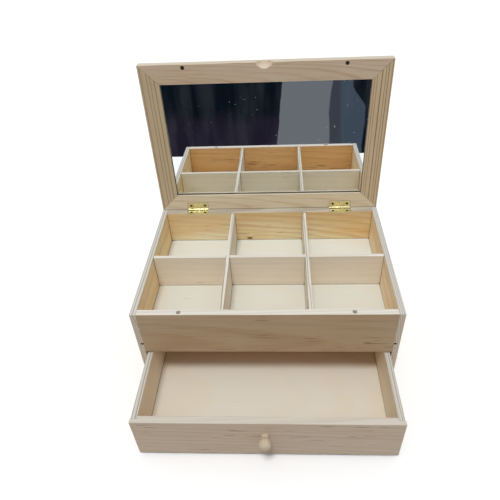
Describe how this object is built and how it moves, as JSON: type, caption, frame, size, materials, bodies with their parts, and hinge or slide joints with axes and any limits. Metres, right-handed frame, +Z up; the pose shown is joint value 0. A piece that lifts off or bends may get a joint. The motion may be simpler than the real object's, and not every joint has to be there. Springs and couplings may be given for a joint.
{
  "type": "jewelry box",
  "caption": "Bare wooden jewelry box with a hinged mirrored lid over a divided tray and a full-width drawer with a ball knob below.",
  "frame": {"origin": "centre of the case's footprint, on the surface that it stands on", "axes": "+X to the right, +Y from the drawer front to the hinged back, +Z up"},
  "size_m": [0.26, 0.2819, 0.2849],
  "materials": {
    "raw_pine": "bare sanded pine",
    "plywood": "bare pale plywood",
    "divider_wood": "bare thin pine board",
    "turned_wood": "bare turned hardwood",
    "mirror_glass": "silvered flat glass",
    "brass": "bright brass plate",
    "brass_screw": "brass plated steel",
    "magnet_steel": "nickel plated disc",
    "steel_fixing": "bright steel"
  },
  "bodies": {
    "case": {"case_left_side": "raw_pine", "case_right_side": "raw_pine", "case_back": "raw_pine", "case_fascia": "raw_pine", "case_bottom": "plywood", "case_bottom_brads": "steel_fixing", "case_magnets": "magnet_steel", "tray_floor": "plywood", "tray_long_divider": "divider_wood", "tray_left_divider": "divider_wood", "tray_right_divider": "divider_wood", "left_hinge_case_leaf": "brass", "right_hinge_case_leaf": "brass", "left_hinge_pin": "brass", "right_hinge_pin": "brass", "hinge_case_screws": "brass_screw"},
    "lid": {"lid_front_rail": "raw_pine", "lid_rear_rail": "raw_pine", "lid_left_rail": "raw_pine", "lid_right_rail": "raw_pine", "lid_top_panel": "plywood", "lid_mirror": "mirror_glass", "lid_magnets": "magnet_steel", "left_hinge_lid_leaf": "brass", "right_hinge_lid_leaf": "brass", "hinge_lid_screws": "brass_screw"},
    "drawer": {"drawer_front": "raw_pine", "drawer_left_side": "raw_pine", "drawer_right_side": "raw_pine", "drawer_back": "raw_pine", "drawer_floor": "plywood", "drawer_brads": "steel_fixing", "drawer_knob": "turned_wood", "drawer_knob_screw": "steel_fixing"}
  },
  "joints": [
    {"name": "lid_hinge", "type": "hinge", "parent": "case", "child": "lid", "pos_m": [0, 0.08657, 0.1115], "axis": [1, 0, 0], "range_deg": [0, 92]},
    {"name": "drawer_slide", "type": "slide", "parent": "case", "child": "drawer", "axis": [0, -1, 0], "range_m": [-0.078, 0.042]}
  ]
}
